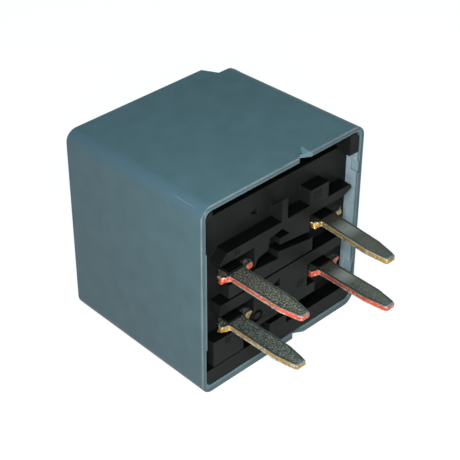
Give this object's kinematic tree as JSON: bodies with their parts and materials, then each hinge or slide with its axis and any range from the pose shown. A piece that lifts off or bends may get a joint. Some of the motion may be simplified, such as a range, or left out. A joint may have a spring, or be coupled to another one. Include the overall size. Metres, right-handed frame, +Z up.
{
  "type": "automotive relay",
  "caption": "Cube-shaped plug-in automotive relay: plastic cover, recessed black base with blade terminals, and a hinged armature, coil and contacts inside.",
  "frame": {"origin": "under the middle of the whole part, on the plane of the side it lies on", "axes": "+Y from the terminals' tips to the cover's closed end, +Z up from the side it lies on, +X to the right when facing the terminals"},
  "size_m": [0.0294, 0.0384, 0.0297],
  "materials": {
    "cover_plastic": "satin moulded, fine grain",
    "base_plastic": "satin moulded",
    "tinned_copper": "dull tin plate over copper strip, bare red-brown cut edges",
    "tinned_brass": "dull tin plate over brass strip, bare yellow cut edges",
    "magnet_iron": "yellowish zinc plate",
    "bobbin_plastic": "natural moulded",
    "winding_copper": "enamelled copper wire",
    "coil_tape": "thin tape",
    "leaf_bronze": "rolled spring strip",
    "contact_silver": "silver alloy, smooth",
    "rivet_metal": "turned",
    "stop_steel": "zinc plated",
    "resistor_ceramic": "painted body",
    "tinned_wire": "tinned wire"
  },
  "bodies": {
    "relay_frame": {"cover": "cover_plastic", "base": "base_plastic", "terminal_30": "tinned_copper", "terminal_87": "tinned_copper", "terminal_85": "tinned_brass", "terminal_86": "tinned_brass", "yoke": "magnet_iron", "core": "magnet_iron", "bobbin": "bobbin_plastic", "coil_winding": "winding_copper", "coil_tape": "coil_tape", "fixed_contact": "contact_silver", "yoke_rivet_upper": "rivet_metal", "yoke_rivet_lower": "rivet_metal", "armature_stop": "stop_steel", "resistor": "resistor_ceramic", "resistor_lead_85": "tinned_wire", "resistor_lead_86": "tinned_wire", "coil_wire_85": "winding_copper", "coil_wire_86": "winding_copper"},
    "armature_group": {"armature": "magnet_iron", "contact_leaf": "leaf_bronze", "moving_contact": "contact_silver", "armature_rivet_upper": "rivet_metal", "armature_rivet_lower": "rivet_metal"}
  },
  "joints": [
    {"name": "armature_hinge", "type": "hinge", "parent": "relay_frame", "child": "armature_group", "pos_m": [-0.0116, 0.01305, 0.013], "axis": [0, 0, -1], "range_deg": [0, 2.6], "stiffness_Nm_per_rad": 0.05, "springref_deg": -6.88, "deforming": ["contact_leaf"]}
  ]
}
